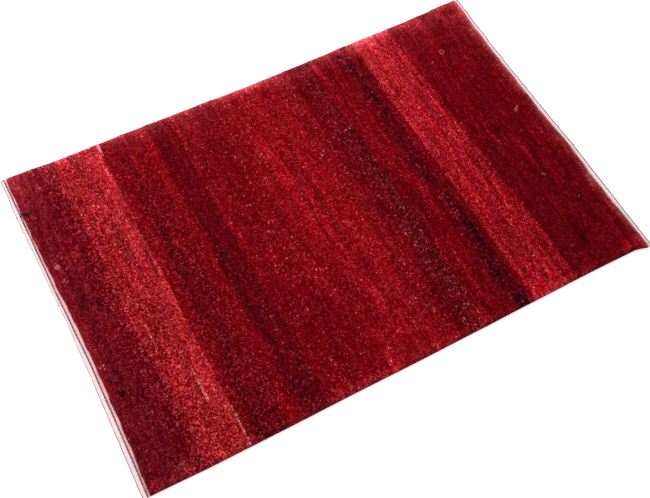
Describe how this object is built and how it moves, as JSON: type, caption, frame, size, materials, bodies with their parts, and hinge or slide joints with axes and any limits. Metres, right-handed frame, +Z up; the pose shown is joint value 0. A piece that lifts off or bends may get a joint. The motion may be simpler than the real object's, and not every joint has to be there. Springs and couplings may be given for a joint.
{
  "type": "gabbeh rug",
  "caption": "Small hand-knotted wool rug that lies flat, with a short clipped pile in broad shaded bands, overcast sides and narrow flat-woven ends.",
  "frame": {"origin": "middle of the underside, on the surface that the rug lies on", "axes": "+X along the rug's length to its right end, +Y across it to its far long side, +Z up out of the pile"},
  "size_m": [1.1999, 0.8, 0.0113],
  "materials": {
    "pile_wool": "clipped hand-spun wool pile, crimson bands from wine to coral with single dark, pink and gold knots",
    "kilim_wool": "plain flat weave in undyed and pale pink wool, matt",
    "twined_wool": "two-ply twined wool cord, dark grey brown, matt",
    "selvedge_wool": "overcast wool yarn in turns side by side, in the colours of the bands beside it"
  },
  "bodies": {
    "root": {"pile_field": "pile_wool", "kilim_end_left": "kilim_wool", "kilim_end_right": "kilim_wool", "twined_line_left": "twined_wool", "twined_line_right": "twined_wool", "selvedge_near": "selvedge_wool", "selvedge_far": "selvedge_wool"}
  },
  "joints": []
}
